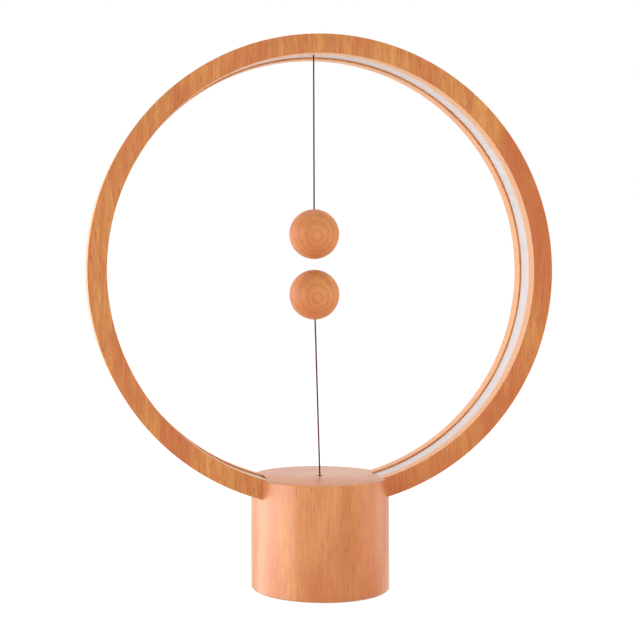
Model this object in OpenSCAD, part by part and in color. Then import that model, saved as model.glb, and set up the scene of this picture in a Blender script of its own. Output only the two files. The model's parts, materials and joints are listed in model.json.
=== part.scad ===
// Magnetic balance lamp: a flat wooden ring of light standing in a turned wooden base,
// with two magnet balls on cords that pull towards each other and work the switch.
// Millimetres. +Z up, the ring lies in the XZ plane, -Y is the front.
// The origin is on the resting plane, under the middle of the base.

/* [Ring] */
// Outer diameter of the ring
ring_d = 340; // [300:1:400]
// Width of the ring's face, across the wood
ring_w = 14; // [13:0.5:20]
// Depth of the ring from front to back, both halves together
ring_depth = 42; // [36:1:50]
// Depth of the ring's lowest point under the base's top, were the ring whole
ring_sink = 19.6; // [18:0.2:21]
// Width of the groove that holds the light
groove_w = 19.5; // [16:0.5:24]
// Depth of that groove, cut outwards from the ring's inner face
groove_deep = 8; // [7:0.5:9]
// Distance from the middle at which the ring ends inside the base
ring_end_x = 30; // [28:0.5:33]
// Chamfer on the ring's edges
ring_edge = 0.6; // [0.3:0.1:1]

/* [Light] */
// Thickness of the milky diffuser strip
diffuser_t = 2; // [1.5:0.1:2.5]
// How far the diffuser sits below the ring's inner face
diffuser_recess = 1.3; // [0.8:0.1:1.6]
// Width of the light strip's tape
strip_w = 8; // [6:0.5:10]
// Thickness of the tape
strip_t = 0.4; // [0.2:0.1:0.5]
// Number of light chips on the tape, half of them on each side of the cord
chip_count = 56; // [30:2:70]
// Length and width of one chip
chip_size = 3.4; // [2.5:0.1:4]
// Height of one chip
chip_t = 0.8; // [0.5:0.1:1]

/* [Base] */
// Diameter of the base
base_d = 100.5; // [98:0.5:108]
// Height of the base's top over the floor
base_h = 81.8; // [78:0.2:86]
// Thickness of the turned side wall
base_wall = 10.75; // [9:0.25:12]
// Thickness of the wood over the cavity
base_top_t = 10; // [9:0.5:11]
// Rounding of the base's edges
base_edge = 1; // [0.5:0.1:1.5]
// Thickness of the bottom plate
plate_t = 4; // [3:0.5:5]
// Thickness of the felt pad under the base
pad_t = 2; // [1.5:0.1:2.5]
// Gap between the base's rim and the floor
rim_gap = 0.8; // [0.5:0.1:1.2]
// Thickness of the weight in the base
weight_t = 14; // [10:1:16]

/* [Balls and cords] */
// Diameter of each ball
ball_d = 36.5; // [34:0.5:39]
// Height of the upper ball's centre over the ring's centre
upper_ball_up = 26; // [25:0.1:30]
// Depth of the lower ball's centre under the ring's centre
lower_ball_down = 18.3; // [17:0.1:21]
// Sideways place of the balls and of the upper cord
ball_x = -3.6; // [-6:0.1:0]
// Sideways place of the hole in the base's top
hole_x = 0; // [-2:0.1:1]
// Diameter of the cords
cord_d = 1.2; // [0.8:0.1:1.5]
// Diameter of the round magnets
magnet_d = 12; // [10:0.5:14]
// Thickness of the magnets
magnet_t = 5; // [4:0.5:6]
// Thickness of the plug over a magnet, at its middle
plug_t = 3; // [2.5:0.1:4]

/* [Switch] */
// Length, width and height of the switch's case
switch_size = [20, 6.4, 10];
// Distance from the cord to the lever's pin
lever_arm = 14; // [12:0.5:15]
// Thickness of the lever
lever_t = 0.8; // [0.6:0.1:1]

/* [Power inlet] */
// Diameter of the inlet's sleeve
inlet_d = 11; // [9:0.5:12]
// Diameter of the socket in it
inlet_bore = 5.6; // [5:0.1:6]
// Height of the inlet over the floor
inlet_z = 33; // [32:1:38]

/* [Hidden] */

$fn = 96;
clear = 0.15;                 // between wood and what is let into it
touch = 0.02;                 // between faces of different bodies that meet
cut = 1;                      // how far a cutter runs past a face

ring_r = ring_d / 2;
ring_in = ring_r - ring_w;
ring_z = base_h - ring_sink + ring_r;
half_depth = ring_depth / 2;
groove_r = ring_in + groove_deep;
diffuser_r = ring_in + diffuser_recess;
strip_r = groove_r - touch;
base_r = base_d / 2;
cavity_r = base_r - base_wall;
ceiling_z = base_h - base_top_t;
plate_lip = 4.75;             // the plate's seat, past the cavity's wall
plate_r = cavity_r + plate_lip;
plate_top = pad_t + plate_t;
weight_r = cavity_r - 0.5;
weight_top = plate_top + weight_t;

cord_r = cord_d / 2;
cord_sides = 8;               // facets round the swept cords
bend_r = cord_r - 0.1;        // the cord's flexing point, drawn as a bead
bend_gap = bend_r + touch;    // from that point to the stiff stretches
cord_hole_r = cord_r + 0.25;
knot_r = 1.9;

// The upper cord bends just under the diffuser
hang_z = ring_z + sqrt(pow(diffuser_r, 2) - pow(ball_x, 2)) - bend_gap - 0.1;
upper_z = ring_z + upper_ball_up;
ball_r = ball_d / 2;
pocket_r = magnet_d / 2 + clear;
pocket_deep = plug_t + magnet_t + 2 * clear;
knot_room_r = knot_r + 0.3;
knot_room = 2 * knot_r + 0.2;
cord_into_ball = 0.3;         // the free stretch stops this far over the wood, where the tail starts
anchor_knot_r = 1.5;
anchor_knot_up = 0.9;         // its middle over the room's floor, which flattens it
anchor_room_r = 3;
anchor_room = 4;
anchor_plug_t = 1.4;
anchor_plug_sink = 0.1;

// The lower cord leans from the base's hole to the lower ball
stand_z = base_h + bend_gap + 0.1;
lower_z = ring_z - lower_ball_down;
lower_reach = sqrt(pow(lower_z - stand_z, 2) + pow(ball_x - hole_x, 2));
lower_lean = atan2(ball_x - hole_x, lower_z - stand_z);

bush_r = 2.2;
bush_mouth_r = 1.5;
bush_flare = 3;
bush_sink = 0.2;

// The switch hangs from the ceiling beside the cord, over its lever
switch_x = hole_x + 3;                      // the case's near end
switch_low = ceiling_z - switch_size[2] - 3;
lever_gap = 0.5;                            // the plunger stands out this far when it is pressed in
lever_top = switch_low - lever_gap;
lever_w = 5;
pin_x = hole_x + lever_arm;
pin_z = lever_top - lever_t - 1;
pin_r = 0.8;
pin_play = 0.05;
plunger_arm = 4;
plunger_x = pin_x - plunger_arm;
plunger_r = 0.9;
plunger_play = 0.06;
plunger_hole = 4;
tail_hole_r = cord_r + 0.5;
bracket_t = 1.5;
bracket_play = 0.02;

inlet_r = inlet_d / 2;
inlet_flange_r = inlet_r + 2;
inlet_flange_t = 1.6;
inlet_face_y = base_r - 1.3;                // just under the round surface
inlet_len = 17;
inlet_socket = 10;
inlet_pin_r = 1;
nut_t = 3;

board_size = [34, 24, 1.6];
standoff_h = 5;
board_z = weight_top + standoff_h;
board_hole = [14, 9];                       // from the board's middle to its screws
board_screw_deep = 5;                       // how far those screws go into the weight

wire_r = 0.6;
wire_sides = 8;
wire_lane = 2.4;              // the light's two wires, each side of the middle
wire_room = wire_lane + wire_r + 0.5;

// Countersunk screws: radius of the head, of the shank, whole length and height of the head
plate_screw = [2.7, 1.4, 13.5, 2.3];
weight_screw = [2.7, 1.5, 11.5, 2.3];
ceiling_screw = [2, 1, 7.6, 1.4];
screw_sink = 0.1;             // a head lies this far in
screw_grip = 0.1;             // the thread's bite, left out of the shank's room
// Round headed screws: radius of the head, its height, radius of the shank, whole length under the head
ring_screw = [1.7, 1.2, 0.85, 8];
switch_screw = [1.9, 1.4, 1];
board_screw = [2.1, 1.3, 1.2];

// ---------- shared shapes ----------

// Turns a profile of the ring (radius, towards the front) round the ring's axis
module ring_turn() {
    translate([0, 0, ring_z]) rotate([90, 0, 0]) rotate_extrude($fn = 180) children();
}

// Takes away the ring's missing foot, between its two ends
module ring_foot_cut(end_x) {
    translate([-end_x, -half_depth - cut, 0]) cube([2 * end_x, ring_depth + 2 * cut, ring_z - ring_in / 2]);
}

// One half of the ring's section: the glued face on the axis' plane, the groove inside
module half_section() {
    polygon([
        [groove_r, 0], [ring_r, 0], [ring_r, half_depth - ring_edge], [ring_r - ring_edge, half_depth],
        [ring_in + ring_edge, half_depth], [ring_in, half_depth - ring_edge],
        [ring_in, groove_w / 2], [groove_r, groove_w / 2]
    ]);
}

// A countersunk screw of the sizes in "kind", with its head's face at the origin, pointing up
module screw(kind) {
    head_r = kind[0];
    slot = [head_r * 1.4, head_r * 0.24, kind[3] * 0.35];
    difference() {
        union() {
            cylinder(r1 = head_r, r2 = kind[1], h = kind[3], $fn = 32);
            translate([0, 0, kind[3]]) cylinder(r = kind[1], h = kind[2] - kind[3], $fn = 32);
        }
        for (turn = [0, 90]) rotate([0, 0, turn])
            translate([-slot[0] / 2, -slot[1] / 2, -cut]) cube([slot[0], slot[1], slot[2] + cut]);
    }
}

// Takes the room of such a screw, with clearance
module screw_room(kind) {
    head_r = kind[0] + 1.5 * clear;
    shank_r = kind[1] + clear;
    translate([0, 0, -cut]) cylinder(r = head_r, h = cut + touch, $fn = 32);
    cylinder(r1 = head_r, r2 = shank_r, h = kind[3] + screw_sink, $fn = 32);
    cylinder(r = shank_r, h = kind[2] + 4 * clear, $fn = 32);
}

// Places its children at count places round the upright axis
module round_about(count, radius, first = 0) {
    for (i = [0 : count - 1]) rotate([0, 0, first + i * 360 / count]) translate([radius, 0, 0]) children();
}

// A tube swept along a list of points, with a mitred ring of facets at each. "across" is a direction
// that no run of the tube is parallel to.
module swept(points, radius, sides, across = [0, 1, 0]) {
    last = len(points) - 1;
    runs = [for (i = [0 : last - 1]) (points[i + 1] - points[i]) / norm(points[i + 1] - points[i])];
    skin = [for (i = [0 : last])
        let (before = runs[max(0, i - 1)], after = runs[min(last - 1, i)], both = before + after,
             way = both / norm(both), flat = cross(across, way),
             side = flat / norm(flat), up = cross(way, side))
        for (k = [0 : sides - 1]) let (a = k * 360 / sides) points[i] + radius * (cos(a) * side + sin(a) * up)];
    walls = [for (i = [0 : last - 1]) for (k = [0 : sides - 1])
        let (n = (k + 1) % sides, a = i * sides, b = a + sides) [a + k, b + k, b + n, a + n]];
    ends = [[for (k = [0 : sides - 1]) k], [for (k = [sides - 1 : -1 : 0]) last * sides + k]];
    polyhedron(points = skin, faces = concat(walls, ends), convexity = 4);
}

// ---------- base ----------

module base_shell() {
    color("#d6935c") difference() {
        rotate_extrude() polygon([
            [0, rim_gap], [base_r - base_edge, rim_gap], [base_r, rim_gap + base_edge],
            [base_r, base_h - base_edge], [base_r - base_edge * 0.3, base_h - base_edge * 0.3],
            [base_r - base_edge, base_h], [0, base_h]
        ]);
        translate([0, 0, -cut]) cylinder(r = plate_r + clear, h = plate_top + clear + cut);
        translate([0, 0, plate_top]) cylinder(r = cavity_r, h = ceiling_z - plate_top);
        // slots for the two ends of the ring
        difference() {
            ring_turn() translate([ring_in - clear, -half_depth - clear])
                square([ring_w + 2 * clear, ring_depth + 2 * clear]);
            ring_foot_cut(ring_end_x - clear);
        }
        translate([hole_x, 0, ceiling_z - cut]) cylinder(r = bush_r + 0.05, h = base_top_t + 2 * cut, $fn = 48);
        // the inlet's hole and the seat of its flange, in the back
        translate([0, 0, inlet_z]) rotate([-90, 0, 0]) {
            cylinder(r = inlet_r + clear, h = base_r + cut, $fn = 48);
            translate([0, 0, inlet_face_y - inlet_flange_t - clear])
                cylinder(r = inlet_flange_r + clear, h = base_r, $fn = 48);
        }
        // a flat seat for the inlet's nut, inside
        translate([0, 0, inlet_z]) rotate([-90, 0, 0])
            cylinder(r = inlet_flange_r + 1, h = nut_seat_y(), $fn = 48);
        translate([0, 0, pad_t]) round_about(3, plate_screw_r(), 30) screw_room(plate_screw);
        bracket_places() ceiling_screw_places() screw_room(ceiling_screw);
        switch_bracket_screw_places() cylinder(r = 1, h = 6.5, $fn = 32);
        wire_channel();
    }
}

// Room for the light's wires, where the ceiling comes down past them
module wire_channel() {
    translate([-ring_end_x - 2, -wire_room, ceiling_z - cut])
        cube([10, 2 * wire_room, max(cut, strip_end_z() + wire_r + clear - ceiling_z + cut)]);
}

// Radius on which the bottom plate's screws stand
function plate_screw_r() = (cavity_r + plate_r) / 2;

// How far back the flat seat of the inlet's nut lies
function nut_seat_y() = cavity_r + 1;

module base_plate() {
    color("#8c6a4a") translate([0, 0, pad_t]) difference() {
        cylinder(r = plate_r, h = plate_t);
        round_about(3, plate_screw_r(), 30) screw_room(plate_screw);
        round_about(3, weight_screw_r(), 90) screw_room(weight_screw);
    }
}

module base_plate_screws() {
    color("silver") translate([0, 0, pad_t + screw_sink]) round_about(3, plate_screw_r(), 30) screw(plate_screw);
}

module foot_pad() {
    color("#3c3836") cylinder(r = plate_r - 2, h = pad_t);
}

// Radius on which the weight's screws stand
function weight_screw_r() = weight_r * 0.6;

module counterweight() {
    color("#55585c") translate([0, 0, plate_top]) difference() {
        cylinder(r = weight_r, h = weight_t);
        translate([0, 0, -cut]) cylinder(r = 6, h = weight_t + 2 * cut);
        round_about(3, weight_screw_r(), 90) translate([0, 0, -cut])
            cylinder(r = weight_screw[1] + screw_grip, h = weight_screw[2] - plate_t + 3 * clear + cut, $fn = 32);
        board_places() translate([0, 0, weight_t - board_screw_deep - clear])
            cylinder(r = board_screw[2] + clear, h = board_screw_deep + clear + cut, $fn = 24);
    }
}

module counterweight_screws() {
    color("silver") translate([0, 0, pad_t + screw_sink]) round_about(3, weight_screw_r(), 90) screw(weight_screw);
}

// ---------- ring ----------

module ring_half() {
    difference() {
        ring_turn() half_section();
        ring_foot_cut(ring_end_x);
        anchor_hole();
        bracket_places() ring_screw_places()
            cylinder(r = ring_screw[2] + clear / 3, h = ring_screw[3] + 4 * clear, $fn = 32);
    }
}

// The upper cord's hole through the ring's outer wall, with the knot's room over it
module anchor_hole() {
    translate([ball_x, 0, 0]) {
        translate([0, 0, ring_z + groove_r - 2]) cylinder(r = cord_hole_r, h = ring_w, $fn = 32);
        translate([0, 0, anchor_floor()]) cylinder(r = anchor_room_r, h = ring_w, $fn = 48);
    }
}

// Floor of the knot's room in the ring's top
function anchor_floor() = ring_z + sqrt(pow(ring_r, 2) - pow(ball_x, 2)) - anchor_room;

module ring_front_half() {
    color("#cf7a50") ring_half();
}

module ring_rear_half() {
    color("#c9784f") mirror([0, 1, 0]) ring_half();
}

module ring_top_plug() {
    color("#cf7a50") translate([ball_x, 0, anchor_floor() + anchor_room - anchor_plug_t - anchor_plug_sink])
        cylinder(r = anchor_room_r - touch, h = anchor_plug_t, $fn = 48);
}

// Both ends of the ring, seen as the right-hand one
module bracket_places() {
    for (side = [0, 180]) rotate([0, 0, side]) children();
}

bracket_w = 38;               // across the ring's depth
bracket_reach = 10;           // along the ceiling
bracket_plate = 2;
bracket_notch = 5.5;          // lets the light's wires past
bracket_screw_in = 6;         // from the ring's end to the screws in the ceiling
bracket_screw_y = bracket_w / 2 - 4;
tab_w = 8;
tab_low = ring_z - sqrt(pow(ring_r, 2) - pow(ring_end_x, 2));
ring_screw_y = groove_w / 2 + 4.6;
ring_screw_z = ceiling_z - bracket_plate - ring_screw[0] - 0.3;

module ring_brackets() {
    color("silver") bracket_places() difference() {
        union() {
            translate([ring_end_x - touch - bracket_reach, -bracket_w / 2, ceiling_z - bracket_plate])
                cube([bracket_reach, bracket_w, bracket_plate]);
            for (front = [-1, 1])
                translate([ring_end_x - touch - bracket_plate, front * ring_screw_y - tab_w / 2, tab_low])
                    cube([bracket_plate, tab_w, ceiling_z - tab_low]);
        }
        translate([ring_end_x - bracket_notch, -wire_room, ceiling_z - bracket_plate - cut])
            cube([bracket_notch + cut, 2 * wire_room, bracket_plate + 2 * cut]);
        ceiling_screw_places() screw_room(ceiling_screw);
        ring_screw_places() translate([0, 0, -cut])
            cylinder(r = ring_screw[2] + clear, h = bracket_plate + 2 * cut, $fn = 32);
    }
}

// Screws up into the ceiling, at the right-hand end
module ceiling_screw_places() {
    for (front = [-1, 1])
        translate([ring_end_x - bracket_screw_in, front * bracket_screw_y, ceiling_z - bracket_plate]) children();
}

// Screws along X into the ring's end, at the right-hand end
module ring_screw_places() {
    for (front = [-1, 1])
        translate([ring_end_x - touch - bracket_plate, front * ring_screw_y, ring_screw_z])
            rotate([0, 90, 0]) children();
}

module ring_bracket_screws() {
    color("#b9bcc0") bracket_places() {
        ceiling_screw_places() translate([0, 0, screw_sink]) screw(ceiling_screw);
        ring_screw_places() {
            translate([0, 0, -ring_screw[1]]) cylinder(r = ring_screw[0], h = ring_screw[1] - touch, $fn = 32);
            translate([0, 0, -ring_screw[1] / 2])
                cylinder(r = ring_screw[2], h = ring_screw[3] + ring_screw[1] / 2, $fn = 32);
        }
    }
}

// ---------- light ----------

module led_strip() {
    color("#f0f0ea") difference() {
        ring_turn() translate([strip_r - strip_t, -strip_w / 2]) square([strip_t, strip_w]);
        ring_foot_cut(ring_end_x + 1);
        translate([ball_x, 0, ring_z]) cylinder(r = cord_hole_r, h = ring_r, $fn = 32);
    }
}

// Half the angle that the ring's missing foot takes up, at the strip
function foot_angle() = asin((ring_end_x + chip_size) / strip_r);

// How far the cord's hole in the ring's top is turned from the middle
function hole_angle() = asin(ball_x / strip_r);

// Height of the strip's ends
function strip_end_z() = ring_z - sqrt(pow(strip_r - strip_t, 2) - pow(ring_end_x + 1, 2));

// The chips stand alike on both sides of the cord, so that it passes midway between two
module led_chips() {
    pitch = (360 - 2 * foot_angle() - 2 * abs(hole_angle())) / chip_count;
    color("#f7e9a8") translate([0, 0, ring_z]) for (i = [0 : chip_count - 1])
        rotate([0, 180 + hole_angle() + (i + 0.5 - chip_count / 2) * pitch, 0])
            translate([-chip_size / 2, -chip_size / 2, -strip_r + strip_t + chip_sag()])
                cube([chip_size, chip_size, chip_t]);
}

// A flat chip on the round tape stands off by this at its middle
function chip_sag() = strip_r - strip_t - sqrt(pow(strip_r - strip_t, 2) - pow(chip_size / 2, 2)) + 0.005;

module diffuser() {
    color("#f4f2f0") difference() {
        ring_turn() translate([diffuser_r, -groove_w / 2 + 0.1]) square([diffuser_t, groove_w - 0.2]);
        ring_foot_cut(ring_end_x + 0.5);
        translate([ball_x, 0, ring_z]) cylinder(r = cord_hole_r, h = ring_r, $fn = 32);
    }
}

module led_wires() {
    top = board_z + board_size[2];
    pad_x = 4 - board_size[0] / 2;
    color("#c23b30") for (lane = [-wire_lane, wire_lane])
        swept([
            [touch - ring_end_x - 1, lane, strip_end_z()],
            [3 - ring_end_x, lane, strip_end_z() - 0.6],
            [8 - ring_end_x, lane, strip_end_z() - 6],
            [10 - ring_end_x, lane, top + 12],
            [pad_x - 1, lane, top + 5],
            [pad_x, lane, top + 2],
            [pad_x, lane, top]
        ], wire_r, wire_sides);
}

// ---------- electronics ----------

module board_places() {
    for (x = [-1, 1], y = [-1, 1]) translate([x * board_hole[0], y * board_hole[1], 0]) children();
}

module control_board() {
    color("#2f6b45") translate([0, 0, board_z]) difference() {
        translate([-board_size[0] / 2, -board_size[1] / 2, 0]) cube(board_size);
        board_places() translate([0, 0, -cut])
            cylinder(r = board_screw[2] + clear, h = 2 * cut + board_size[2], $fn = 24);
    }
}

module board_components() {
    top = board_z + board_size[2];
    color("#2a2a2c") {
        translate([-3, -4, top]) cube([6, 5, 1.6]);
        translate([8, -3, top]) cylinder(r = 3, h = 7, $fn = 48);
        translate([4.5, 6, top]) cube([4, 3, 1.2]);
        translate([-10.5, 4, top]) cube([6, 6, 3]);
        for (i = [0 : 3]) translate([-9 + 3 * i, -9.5, top]) cube([1.6, 0.9, 0.6]);
    }
}

module board_standoffs() {
    color("#c8a24a") translate([0, 0, weight_top]) board_places() difference() {
        cylinder(r = board_screw[0] + 0.3, h = standoff_h, $fn = 48);
        translate([0, 0, -cut]) cylinder(r = board_screw[2] + clear, h = standoff_h + 2 * cut, $fn = 24);
    }
}

module board_screws() {
    color("silver") translate([0, 0, board_z + board_size[2]]) board_places() {
        cylinder(r = board_screw[0], h = board_screw[1], $fn = 32);
        translate([0, 0, -board_size[2] - standoff_h - board_screw_deep])
            cylinder(r = board_screw[2], h = board_size[2] + standoff_h + board_screw_deep + 0.5, $fn = 24);
    }
}

module power_inlet() {
    back = inlet_face_y - inlet_len;
    color("#1f1f20") translate([0, 0, inlet_z]) rotate([-90, 0, 0]) difference() {
        union() {
            translate([0, 0, back]) cylinder(r = inlet_r, h = inlet_len, $fn = 48);
            translate([0, 0, inlet_face_y - inlet_flange_t])
                cylinder(r = inlet_flange_r, h = inlet_flange_t, $fn = 48);
        }
        difference() {
            translate([0, 0, inlet_face_y - inlet_socket]) cylinder(r = inlet_bore / 2, h = inlet_len, $fn = 48);
            translate([0, 0, back]) cylinder(r = inlet_pin_r, h = inlet_len - 1.5, $fn = 32);
        }
    }
}

module inlet_nut() {
    color("#b9bcc0") translate([0, nut_seat_y() - touch, inlet_z]) rotate([90, 0, 0]) difference() {
        cylinder(r = inlet_flange_r - 0.3, h = nut_t, $fn = 6);
        translate([0, 0, -cut]) cylinder(r = inlet_r + 0.05, h = nut_t + 2 * cut, $fn = 48);
    }
}

module inlet_wires() {
    back = inlet_face_y - inlet_len;
    color("#c23b30") for (lane = [-2, 2])
        swept([
            [lane, back, inlet_z],
            [lane, back - 8, inlet_z],
            [lane, back - 14, inlet_z + 1],
            [lane, 12, board_z + 6],
            [lane, 10, board_z + 4],
            [lane, 10, board_z + board_size[2]]
        ], wire_r, wire_sides, [1, 0, 0]);
}

// ---------- switch ----------

module cord_bush() {
    color("#2a2322") translate([hole_x, 0, 0]) difference() {
        translate([0, 0, ceiling_z]) cylinder(r = bush_r, h = base_top_t - bush_sink, $fn = 48);
        translate([0, 0, ceiling_z - cut]) cylinder(r = cord_hole_r, h = base_top_t + cut, $fn = 32);
        translate([0, 0, base_h - bush_sink - bush_flare])
            cylinder(r1 = cord_hole_r, r2 = bush_mouth_r, h = bush_flare + touch, $fn = 32);
    }
}

bracket_y = switch_size[1] / 2 + bracket_play;
bracket_len = 14;

module switch_bracket() {
    color("#aeb2b6") difference() {
        union() {
            translate([switch_x + 2, bracket_y, pin_z - 2.5]) cube([bracket_len, bracket_t, ceiling_z - pin_z + 2.5]);
            translate([switch_x + 2, bracket_y, ceiling_z - bracket_t]) cube([bracket_len, 9, bracket_t]);
            // the far cheek, which carries the other end of the lever's pin
            translate([pin_x - 2.5, -bracket_y - bracket_t, pin_z - 2.5])
                cube([5, bracket_t, switch_low - pin_z + 2.5 - lever_gap / 2]);
            translate([pin_x - 2.5, -bracket_y - bracket_t, pin_z - 4])
                cube([5, 2 * bracket_y + 2 * bracket_t, 1.5]);
        }
        pin_line() cylinder(r = pin_r + pin_play, h = 30, center = true, $fn = 32);
        switch_screw_line() cylinder(r = 1.1, h = 30, center = true, $fn = 32);
        switch_bracket_screw_places() translate([0, 0, -1]) cylinder(r = 1.1, h = 5, $fn = 32);
    }
}

module pin_line() {
    translate([pin_x, 0, pin_z]) rotate([90, 0, 0]) children();
}

module switch_screw_line() {
    for (x = [5, 13.5]) translate([switch_x + x, 0, switch_low + switch_size[2] - 3.2]) rotate([90, 0, 0]) children();
}

module switch_bracket_screw_places() {
    for (x = [5, 12]) translate([switch_x + x, bracket_y + 5.5, ceiling_z - bracket_t]) children();
}

module switch_bracket_screws() {
    color("silver") switch_bracket_screw_places() {
        translate([0, 0, -ring_screw[1]]) cylinder(r = ring_screw[0], h = ring_screw[1] - touch, $fn = 32);
        translate([0, 0, -ring_screw[1] / 2]) cylinder(r = ring_screw[2], h = 6.5, $fn = 32);
    }
}

module switch_body() {
    color("#222326") difference() {
        translate([switch_x, -switch_size[1] / 2, switch_low]) cube([switch_size[0], switch_size[1], switch_size[2]]);
        switch_screw_line() cylinder(r = 1.1, h = 30, center = true, $fn = 32);
        translate([plunger_x, 0, switch_low - cut])
            cylinder(r = plunger_r + plunger_play, h = plunger_hole + cut, $fn = 32);
    }
}

module switch_screws() {
    color("silver") switch_screw_line() {
        translate([0, 0, -bracket_y - bracket_t - 0.5])
            cylinder(r = switch_screw[2], h = 2 * bracket_y + bracket_t + 0.5, $fn = 24);
        translate([0, 0, switch_size[1] / 2 + touch]) cylinder(r = switch_screw[0], h = switch_screw[1], $fn = 32);
    }
}

module switch_wires() {
    top = board_z + board_size[2];
    color("#2e6fb0") for (lane = [0, 1]) {
        out_x = switch_x + switch_size[0];
        out_z = switch_low + 3 + 4 * lane;
        pad_x = 5 + 4 * lane;
        swept([
            [out_x, 0, out_z],
            [out_x + 2 + 1.5 * lane, 0, out_z],
            [out_x + 3.5 + 1.5 * lane, -1, out_z - 3],
            [out_x + 3.5 + 1.5 * lane, -5, top + 12],
            [pad_x, -9, top + 5],
            [pad_x, -9.5, top + 2],
            [pad_x, -9.5, top]
        ], wire_r, wire_sides);
    }
}

module switch_plunger() {
    color("#d8d2c4") translate([plunger_x, 0, lever_top + 0.05])
        cylinder(r = plunger_r, h = plunger_hole + lever_gap - 1.6, $fn = 32);
}

module switch_lever() {
    color("#b9bcc0") difference() {
        union() {
            translate([hole_x - 3, -lever_w / 2, lever_top - lever_t]) cube([lever_arm + 4.5, lever_w, lever_t]);
            pin_line() cylinder(r = 1.7, h = lever_w, center = true, $fn = 32);
        }
        translate([hole_x, 0, lever_top - cut - lever_t]) cylinder(r = tail_hole_r, h = lever_t + 2 * cut, $fn = 32);
        pin_line() cylinder(r = pin_r + pin_play, h = lever_w + 2, center = true, $fn = 32);
    }
}

module lever_pin() {
    color("silver") pin_line() cylinder(r = pin_r, h = 2 * (bracket_y + bracket_t), center = true, $fn = 32);
}

// ---------- balls and cords ----------

// A wooden ball about the origin: magnet pocket below, cord's hole above
module ball() {
    difference() {
        sphere(r = ball_r, $fn = 128);
        translate([0, 0, -ball_r - cut]) cylinder(r = pocket_r, h = pocket_deep + cut, $fn = 64);
        translate([0, 0, -ball_r + pocket_deep - touch]) cylinder(r = knot_room_r, h = knot_room, $fn = 48);
        cylinder(r = cord_hole_r, h = ball_r + cut, $fn = 32);
        translate([0, 0, -ball_r + pocket_deep]) cylinder(r = cord_hole_r, h = ball_r, $fn = 32);
    }
}

module ball_magnet() {
    translate([0, 0, -ball_r + plug_t + clear]) cylinder(r = magnet_d / 2, h = magnet_t, $fn = 64);
}

module ball_plug() {
    intersection() {
        translate([0, 0, -ball_r - cut]) cylinder(r = pocket_r - 0.03, h = plug_t + cut, $fn = 64);
        sphere(r = ball_r, $fn = 128);
    }
}

// The cord's end in a ball: a knot over the magnet, and the stretch up to where the ball ends
module ball_knot() {
    low = -ball_r + pocket_deep + knot_r + 0.1;
    translate([0, 0, low]) sphere(r = knot_r, $fn = 32);
    translate([0, 0, low]) cylinder(r = cord_r, h = ball_r + cord_into_ball - low, $fn = 32);
}

module at_upper_ball() {
    translate([ball_x, 0, upper_z]) children();
}

// The lower ball stands on its cord, upside down, leaning as the cord does
module at_lower_ball() {
    translate([ball_x, 0, lower_z]) rotate([0, 180 + lower_lean, 0]) children();
}

module upper_ball() {
    color("#de9c74") at_upper_ball() ball();
}

module upper_magnet() {
    color("#c9ccd0") at_upper_ball() ball_magnet();
}

module upper_ball_plug() {
    color("#d8956c") at_upper_ball() ball_plug();
}

module upper_cord_knot() {
    color("#69272a") at_upper_ball() ball_knot();
}

module upper_cord() {
    color("#69272a") swept([
        for (t = [0 : 0.05 : 1])
            [ball_x, 0, (hang_z - bend_gap) * (1 - t) + (upper_z + ball_r + cord_into_ball + touch) * t]
    ], cord_r, cord_sides);
}

module upper_cord_bend() {
    color("#69272a") translate([ball_x, 0, hang_z]) sphere(r = bend_r, $fn = 24);
}

module upper_cord_anchor() {
    color("#69272a") translate([ball_x, 0, 0]) {
        translate([0, 0, hang_z + bend_gap])
            cylinder(r = cord_r, h = anchor_floor() + anchor_knot_up - hang_z - bend_gap, $fn = 32);
        translate([0, 0, anchor_floor() + anchor_knot_up]) difference() {
            sphere(r = anchor_knot_r, $fn = 32);
            translate([0, 0, touch - anchor_knot_up - anchor_knot_r])
                cube(2 * anchor_knot_r, center = true);
        }
    }
}

module lower_ball() {
    color("#de9c74") at_lower_ball() ball();
}

module lower_magnet() {
    color("#c9ccd0") at_lower_ball() ball_magnet();
}

module lower_ball_plug() {
    color("#d8956c") at_lower_ball() ball_plug();
}

module lower_cord_knot() {
    color("#69272a") at_lower_ball() ball_knot();
}

module lower_cord() {
    foot = [hole_x, 0, stand_z];
    way = ([ball_x, 0, lower_z] - foot) / lower_reach;
    color("#69272a") swept([
        for (t = [0 : 0.05 : 1])
            foot + way * (bend_gap * (1 - t) + (lower_reach - ball_r - cord_into_ball - touch) * t)
    ], cord_r, cord_sides);
}

module lower_cord_bend() {
    color("#69272a") translate([hole_x, 0, stand_z]) sphere(r = bend_r, $fn = 24);
}

// From the bend down through the bush and the lever, to the knot that lifts the lever
module lower_cord_tail() {
    knot_z = lever_top - lever_t - knot_r - 0.1;
    color("#69272a") translate([hole_x, 0, 0]) {
        translate([0, 0, knot_z]) sphere(r = knot_r, $fn = 32);
        translate([0, 0, knot_z]) cylinder(r = cord_r, h = stand_z - bend_gap - knot_z, $fn = 32);
    }
}

base_shell();
base_plate();
base_plate_screws();
foot_pad();
counterweight();
counterweight_screws();
ring_front_half();
ring_rear_half();
ring_brackets();
ring_bracket_screws();
ring_top_plug();
led_strip();
led_chips();
diffuser();
led_wires();
control_board();
board_components();
board_standoffs();
board_screws();
power_inlet();
inlet_nut();
inlet_wires();
cord_bush();
switch_bracket();
switch_bracket_screws();
switch_body();
switch_screws();
switch_wires();
switch_plunger();
switch_lever();
lever_pin();
upper_cord_anchor();
upper_cord_bend();
upper_cord();
upper_cord_knot();
upper_ball();
upper_magnet();
upper_ball_plug();
lower_cord_tail();
lower_cord_bend();
lower_cord();
lower_cord_knot();
lower_ball();
lower_magnet();
lower_ball_plug();
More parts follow.
